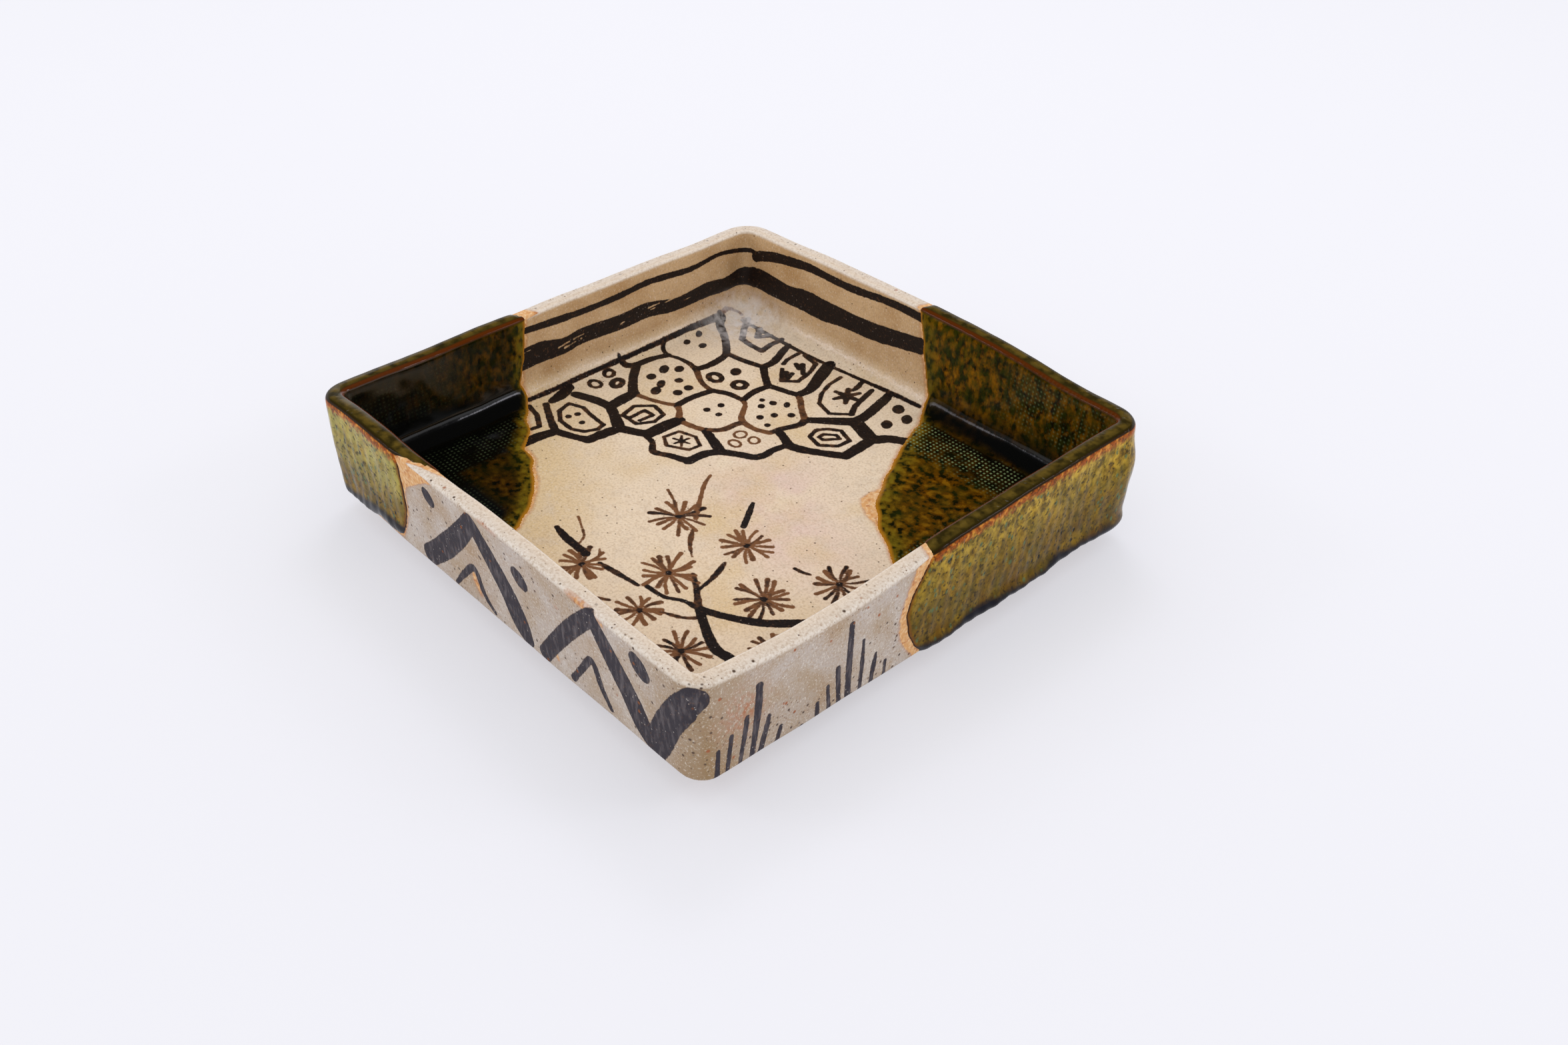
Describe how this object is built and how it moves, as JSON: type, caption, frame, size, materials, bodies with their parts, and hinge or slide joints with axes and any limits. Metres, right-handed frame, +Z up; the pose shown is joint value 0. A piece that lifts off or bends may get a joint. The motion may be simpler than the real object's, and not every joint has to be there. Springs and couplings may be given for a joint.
{
  "type": "square bowl",
  "caption": "Low square serving bowl of hand-built glazed stoneware, with upright walls, rounded corners, green-glazed opposite corners and small loop feet.",
  "frame": {"origin": "middle of the bowl's outline, on the surface that the feet stand on", "axes": "+Z up out of the bowl; the four walls face -Y (front), +X (right), +Y (back) and -X (left); the green corners are front left and back right"},
  "size_m": [0.2148, 0.2152, 0.0557],
  "materials": {
    "clear_glazed_stoneware": "glossy clear glaze over buff stoneware with iron brushwork",
    "copper_green_glaze": "glossy copper-green glaze, amber where thin and nearly black where pooled",
    "bare_stoneware": "matt unglazed fired clay"
  },
  "bodies": {
    "root": {"bowl_body": "clear_glazed_stoneware", "green_glaze_front_left": "copper_green_glaze", "green_glaze_back_right": "copper_green_glaze", "foot_front_right": "bare_stoneware", "foot_back_right": "bare_stoneware", "foot_back_left": "bare_stoneware", "foot_front_left": "bare_stoneware"}
  },
  "joints": []
}
